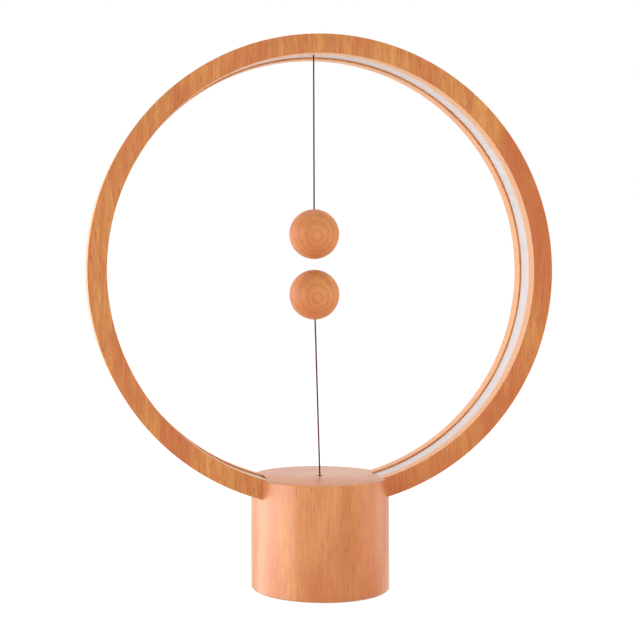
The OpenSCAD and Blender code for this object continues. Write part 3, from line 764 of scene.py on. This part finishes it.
@dataclass
class Studio:
    """The camera at the photograph's angle, a white floor and soft light, mostly from the left."""

    camera_at: Point = (-202.26, -985.73, 231.52)
    yaw: float = 7.668                                # degrees, to the right of straight ahead
    pitch: float = 0.869                              # degrees, upwards
    roll: float = -0.118                              # degrees
    focal_px: float = 1370.25
    frame_px: float = 640.0                           # the photograph's width and height
    axis_px: tuple[float, float] = (225.0, 250.0)     # where the camera's axis meets the photograph
    sensor: float = 36.0
    near: float = 10.0                                # the camera sees from here
    far: float = 50000.0                              # to here
    world_glow: float = 0.42                          # strength of the world's light on the lamp
    world_seen: float = 1.0                           # strength of the white that is seen round it
    floor_r: float = 6000.0
    floor_sides: int = 96
    floor_glow: float = 1.3                           # strength that keeps the floor white
    floor_glow_share: float = 0.7                     # of that glow; the rest of the floor shows the shadow
    tooth: float = 2.0                                # of the paper, coarser than real so that it shows
    tooth_strength: float = 0.02
    tooth_depth: float = 0.1

    def camera(self) -> None:
        """Makes the camera and sets it as the scene's."""
        data = bpy.data.cameras.new("camera")
        data.sensor_width = self.sensor
        data.lens = self.focal_px * self.sensor / self.frame_px
        middle = self.frame_px / 2.0
        data.shift_x = (middle - self.axis_px[0]) / self.frame_px
        data.shift_y = -(middle - self.axis_px[1]) / self.frame_px
        data.clip_start = mm(self.near)
        data.clip_end = mm(self.far)
        camera = bpy.data.objects.new("camera", data)
        bpy.context.scene.collection.objects.link(camera)
        yaw, pitch, roll = (math.radians(a) for a in (self.yaw, self.pitch, self.roll))
        ahead = Vector((math.sin(yaw) * math.cos(pitch), math.cos(yaw) * math.cos(pitch), math.sin(pitch)))
        level = Vector((math.cos(yaw), -math.sin(yaw), 0.0))
        over = level.cross(ahead)
        right = level * math.cos(roll) + over * math.sin(roll)
        up = over * math.cos(roll) - level * math.sin(roll)
        turn = Matrix((right, up, -ahead)).transposed().to_4x4()
        camera.matrix_world = Matrix.Translation(mm3(*self.camera_at)) @ turn
        bpy.context.scene.camera = camera

    @staticmethod
    def looked_at(tree: Tree) -> Socket:
        """Tells the rays that look at the background: the camera's, mirrored ones and those through glass.

        Args:
            tree: the node tree of the world or the floor.

        Returns:
            The socket that gives 1 for those rays and 0 for the rest.
        """
        rays = add(tree, "ShaderNodeLightPath").outputs
        seen = add(tree, "ShaderNodeMath", {0: rays["Is Camera Ray"], 1: rays["Is Glossy Ray"]},
                   operation="MAXIMUM")
        seen = add(tree, "ShaderNodeMath", {0: seen.outputs[0], 1: rays["Is Transmission Ray"]},
                   operation="MAXIMUM")
        return seen.outputs[0]

    def light(self) -> None:
        """Sets the world and hangs the panels."""
        world = bpy.data.worlds.new("studio")
        bpy.context.scene.world = world
        world.use_nodes = True
        tree = world.node_tree
        tree.nodes.clear()
        glow = add(tree, "ShaderNodeBackground", {"Color": linear("#fffdfb"), "Strength": self.world_glow})
        white = add(tree, "ShaderNodeBackground", {"Color": linear("#ffffff"), "Strength": self.world_seen})
        both = add(tree, "ShaderNodeMixShader",
                   {0: self.looked_at(tree), 1: glow.outputs[0], 2: white.outputs[0]})
        add(tree, "ShaderNodeOutputWorld", {"Surface": both.outputs[0]})
        for panel in PANELS:
            panel.hang()

    def floor(self) -> None:
        """Lays a round white floor that renders white and keeps the lamp's soft shadow."""
        work = bmesh.new()
        bmesh.ops.create_circle(work, cap_ends=True, segments=self.floor_sides, radius=mm(self.floor_r))
        floor = finished("floor", work)
        material, tree, shader = surface("white_paper", Base_Color=linear("#fbfbfb"), Roughness=0.9)
        place = add(tree, "ShaderNodeTexCoord").outputs["Object"]
        tooth = add(tree, "ShaderNodeTexNoise",
                    {"Vector": place, "Scale": per_mm(self.tooth), "Detail": 2.0})
        bump = add(tree, "ShaderNodeBump", {"Height": tooth.outputs["Fac"], "Strength": self.tooth_strength,
                                            "Distance": mm(self.tooth_depth)})
        tree.links.new(bump.outputs["Normal"], shader.inputs["Normal"])
        glow = add(tree, "ShaderNodeEmission", {"Color": linear("#ffffff"), "Strength": self.floor_glow})
        share = add(tree, "ShaderNodeMath", {0: self.looked_at(tree), 1: self.floor_glow_share},
                    operation="MULTIPLY")
        both = add(tree, "ShaderNodeMixShader",
                   {0: share.outputs[0], 1: shader.outputs["BSDF"], 2: glow.outputs[0]})
        out = next(n for n in tree.nodes if n.type == "OUTPUT_MATERIAL")
        tree.links.new(both.outputs[0], out.inputs["Surface"])
        floor.data.materials.append(material)
        floor.visible_glossy = False    # the base mirrors the white and the left panel down to its foot

    def build(self) -> None:
        """Makes the lights and the floor."""
        self.light()
        self.floor()


# ---------------------------------------------------------------- cords


@dataclass
class Cords(Assembly):
    """The two cords, each one free stretch from its hole to its ball."""

    diameter: float = SIZES.cord_d
    lay_length: float = 5.0      # one turn of the plies
    step: float = 0.5            # between two rings of the tube
    sides: int = 18
    plies: int = 3
    hollow: float = 0.14         # how deep the plies' hollows are, as a share of the radius
    sharp: float = 60.0          # degrees; more than the plies' own round, so that they stay smooth
    into_ball: float = 0.4       # how far a cord's end goes into its ball,
    into_hole: float = 0.3       # and into the hole that it comes out of

    def laid_tube(self, name: str, start: Vector, end: Vector) -> tuple[bpy.types.Object, list[Vector]]:
        """A straight cord of twisted plies.

        Args:
            name: the piece's name.
            start: where it begins, in metres.
            end: where it ends, in metres.

        Returns:
            The piece, with its height attribute, and its centreline.
        """
        way = (end - start).normalized()
        side = way.orthogonal().normalized()
        other = way.cross(side)
        count = max(2, round((end - start).length / mm(self.step)))
        work = bmesh.new()
        height = work.verts.layers.float.new(Cordage.HEIGHT)
        before: list[bmesh.types.BMEdge] = []
        line = [start.lerp(end, i / count) for i in range(count + 1)]
        for centre in line:
            twist = 2.0 * math.pi * (centre - start).length / mm(self.lay_length)
            ring = []
            for k in range(self.sides):
                turn = 2.0 * math.pi * k / self.sides
                crown = 0.5 + 0.5 * math.cos(self.plies * (turn - twist))
                radius = mm(self.diameter / 2.0) * (1.0 - self.hollow * (1.0 - crown))
                vert = work.verts.new(centre + radius * (math.cos(turn) * side + math.sin(turn) * other))
                vert[height] = crown
                ring.append(vert)
            edges = [work.edges.new((ring[k], ring[(k + 1) % self.sides])) for k in range(self.sides)]
            if before:
                bmesh.ops.bridge_loops(work, edges=before + edges)
            else:
                work.faces.new(ring)
            before = edges
        work.faces.new(ring)
        bmesh.ops.recalc_face_normals(work, faces=work.faces)
        return finished(name, work, self.sharp), line

    def build(self) -> None:
        ball_r = SIZES.ball_d / 2.0
        top = mm3(*SIZES.upper_bend) + mm3(0.0, 0.0, self.into_hole)
        end = mm3(*SIZES.upper_ball) + mm3(0.0, 0.0, ball_r - self.into_ball)
        upper, line = self.laid_tube("upper_cord_laid", top, end)
        self.settle(upper, "upper_ball_on_cord", "cord_maroon", "upper_cord")
        foot, ball, way = mm3(*SIZES.lower_bend), mm3(*SIZES.lower_ball), SIZES.lower_way
        reach = (ball - foot).length - mm(ball_r - self.into_ball)
        begin, end = foot - way * mm(self.into_hole), foot + way * reach
        lower, line = self.laid_tube("lower_cord_laid", begin, end)
        self.settle(lower, "lower_cord_stretch", "cord_maroon", "lower_cord")
        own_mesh(lower)


# ---------------------------------------------------------------- ring


class Side(Enum):
    """The side of the ring's middle on which a section is spun, as the sign of its Y."""

    FRONT = -1.0
    REAR = 1.0


@dataclass
class Ring(Assembly):
    """Two boards glued back to back, with the milky diffuser in the groove between their lips."""

    centre_z: float = SIZES.ring_z
    outer: float = SIZES.ring_d / 2.0
    inner: float = SIZES.ring_in
    half_depth: float = SIZES.ring_depth / 2.0
    groove_half: float = SIZES.groove_w / 2.0
    groove: float = SIZES.ring_in + SIZES.groove_deep
    edge: float = 0.55           # rounding of the sanded edges
    lip_edge: float = 0.33       # rounding of the lips' edges at the groove
    glue_edge: float = 0.12      # the fine line where the boards meet
    end_x: float = SIZES.ring_end_x
    board_short: float = 2.0     # the boards stop this much before they come to end_x, inside the base,
    strip_short: float = 2.5     # and the diffuser this much
    steps: int = 200             # round the ring,
    edge_steps: int = 4          # on each rounded edge,
    lip_steps: int = 3           # and on the finer ones
    diffuser_in: float = SIZES.ring_in + SIZES.diffuser_recess
    diffuser_t: float = SIZES.diffuser_t
    diffuser_half: float = SIZES.groove_w / 2.0 - SIZES.diffuser_clear
    diffuser_edge: float = 0.3

    def board(self) -> Profile:
        """One board's section.

        Returns:
            Its outline: radius, and distance from the glued face.
        """
        e, lip, glue, out, rim = self.edge, self.lip_edge, self.glue_edge, self.outer, self.half_depth
        return [
            (self.groove, 0.0), (out - glue, 0.0), (out, glue),
            *arc((out - e, rim - e), e, 0.0, 90.0, self.edge_steps),
            *arc((self.inner + e, rim - e), e, 90.0, 180.0, self.edge_steps),
            *arc((self.inner + lip, self.groove_half + lip), lip, 180.0, 270.0, self.lip_steps),
            (self.groove, self.groove_half),
        ]

    def strip(self) -> Profile:
        """The diffuser's section.

        Returns:
            Its outline: radius, and distance from the ring's middle.
        """
        low, half, e = self.diffuser_in, self.diffuser_half, self.diffuser_edge
        high = low + self.diffuser_t
        return [
            *arc((low + e, -half + e), e, 180.0, 270.0, self.lip_steps), (high, -half),
            (high, half), *arc((low + e, half - e), e, 90.0, 180.0, self.lip_steps),
        ]

    def bent(self, name: str, outline: Profile, side: Side, short: float) -> bpy.types.Object:
        """Spins a section round the ring's axis, from one hidden end in the base to the other.

        Args:
            name: the piece's name.
            outline: the section.
            side: the side that it lies on, and either one for a section across the middle.
            short: how much it stops before it comes to end_x, in millimetres along X.

        Returns:
            The piece.
        """
        centre = mm3(0.0, 0.0, self.centre_z)
        start = math.asin((self.end_x + short) / self.inner)
        foot = Vector((-math.sin(start), 0.0, -math.cos(start)))

        def place(radius: float, depth: float) -> Vector:
            """A section point's place at the left end."""
            return centre + foot * mm(radius) + Vector((0.0, side.value * mm(depth), 0.0))

        axis, turn = Vector((0.0, 1.0, 0.0)), 360.0 - 2.0 * math.degrees(start)
        return spun(name, outline, axis, centre, place, turn, self.steps)

    def build(self) -> None:
        """Makes the two boards and the diffuser."""
        front = self.bent("ring_front_board", self.board(), Side.FRONT, self.board_short)
        self.settle(front, "lamp", "ring_wood", "ring_front_half")
        rear = self.bent("ring_rear_board", self.board(), Side.REAR, self.board_short)
        self.settle(rear, "lamp", "ring_wood", "ring_rear_half")
        diffuser = self.bent("diffuser_strip", self.strip(), Side.REAR, self.strip_short)
        self.settle(diffuser, "lamp", "diffuser_milk", "diffuser")


# ---------------------------------------------------------------- balls


@dataclass
class Ball(Assembly):
    """A turned ball with its cord's hole and its magnet's plug."""

    name: str = "upper"
    at: Point = SIZES.upper_ball
    up: Vector = field(default_factory=lambda: Vector((0.0, 0.0, 1.0)))   # from its middle along its cord
    radius: float = SIZES.ball_d / 2.0
    hole: float = 0.85           # radius of the cord's hole
    mouth: float = 0.25          # width of that hole's broken edge,
    mouth_deep: float = 0.3      # and its depth
    pocket: float = 6.15         # radius of the magnet's pocket,
    pocket_deep: float = 8.3     # and its depth
    chamber_r: float = 2.2       # radius of the room for the cord's knot, over the pocket,
    chamber: float = 4.0         # and its height
    plug_r: float = 6.12         # radius of the plug in the pocket,
    plug_t: float = 3.0          # and its thickness
    steps: int = 96              # round the cord's line,
    shell_steps: int = 64        # along the ball's section,
    plug_steps: int = 12         # and along the plug's face
    blank_shift_for_shade: float = 50.0      # how far along the log this ball's blank is set, chosen so that the wood's clouds lie paler on top and darker underneath: painted shade

    def place(self, radius: float, height: float) -> Vector:
        """Where a point at this radius from the ball's cord line, and this height on it, lies."""
        side = self.up.orthogonal().normalized()
        return mm3(*self.at) + side * mm(radius) + self.up * mm(height)

    def shell(self) -> Profile:
        """The ball's section, from the cord's hole over the outside to the magnet's pocket.

        Returns:
            Its outline: radius from the cord's line, and height on it.
        """
        top = math.degrees(math.acos((self.hole + self.mouth) / self.radius))
        low = -math.degrees(math.acos(self.pocket / self.radius))
        floor = -self.radius + self.pocket_deep
        return [
            (self.hole, self.radius - self.mouth_deep),
            *arc((0.0, 0.0), self.radius, top, low, self.shell_steps),
            (self.pocket, floor), (self.chamber_r, floor), (self.chamber_r, floor + self.chamber),
            (self.hole, floor + self.chamber),
        ]

    def plug(self) -> Profile:
        """The plug's section, its face a piece of the ball's own round.

        Returns:
            Its outline: radius from the cord's line, and height on it.
        """
        rim = -math.degrees(math.acos(self.plug_r / self.radius))
        back = -self.radius + self.plug_t
        face = arc((0.0, 0.0), self.radius, rim, -90.0, self.plug_steps)
        return [(0.0, back), (self.plug_r, back), *face]

    def turned(self, name: str, profile: Profile) -> bpy.types.Object:
        """Turns a section round the cord's line, and writes each point's place in the log on it.

        Args:
            name: the piece's name.
            profile: the section.

        Returns:
            The piece, with its blank attribute.
        """
        centre = mm3(*self.at)
        piece = spun(name, profile, self.up, centre, self.place, 360.0, self.steps)
        blank = piece.data.attributes.new(Wood.BLANK, "FLOAT_VECTOR", "POINT")
        cut_from = centre + BALL_LOG * mm(self.blank_shift_for_shade)
        for vertex, point in zip(piece.data.vertices, blank.data):
            point.vector = vertex.co - cut_from
        return piece

    def build(self) -> None:
        """Makes the ball and its plug."""
        body = f"{self.name}_ball_on_cord"
        ball = self.turned(f"{self.name}_ball_turned", self.shell())
        self.settle(ball, body, "ball_wood", f"{self.name}_ball")
        plug = self.turned(f"{self.name}_plug_turned", self.plug())
        self.settle(plug, body, "ball_wood", f"{self.name}_ball_plug")


# ---------------------------------------------------------------- base and the rest


@dataclass
class Base(Assembly):
    """The base's own pieces that show, and the plug and the cord's anchor in the top of the ring."""

    smooth_nodes: tuple[tuple[str, str], ...] = (
        ("base_shell", "base_wood"), ("base_plate", "plywood"), ("foot_pad", "felt"),
        ("power_inlet", "inlet_black"), ("cord_bush", "bush_dark"), ("ring_top_plug", "ring_wood"),
        ("upper_cord_anchor", "cord_maroon"),
    )

    def build(self) -> None:
        """Makes a smooth copy of each node that shows."""
        for node, slot in self.smooth_nodes:
            self.settle(merged_copy(f"{node}_finished", node), "lamp", slot, node)


def dress_frame(frame: dict, paint: Paint) -> None:
    """Gives every CAD node the material of its slot in the record.

    Args:
        paint: the materials.
    """
    for row in frame["record"]["subparts"]:
        paint.cover(frame["nodes"][row["node"]], row["material_slot"])
        LOG.info("%s: %s", row["node"], FINISHES[row["material_slot"]].name)


def main() -> None:
    """Builds the lamp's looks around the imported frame."""
    logging.basicConfig(level=logging.INFO, format="%(name)s %(message)s")
    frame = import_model()
    bpy.context.scene.view_settings.view_transform = "Standard"
    studio = Studio()
    studio.camera()
    paint = Paint()
    Cords(paint).build()
    dress_frame(frame, paint)
    Ring(paint).build()
    Base(paint).build()
    Ball(paint).build()
    # the lower ball's blank sits further along the log, which gives it the same painted shade: paler on top,
    # darker underneath
    Ball(paint, name="lower", at=SIZES.lower_ball, up=-SIZES.lower_way, blank_shift_for_shade=66.0).build()
    studio.build()


if __name__ == "__main__":
    main()
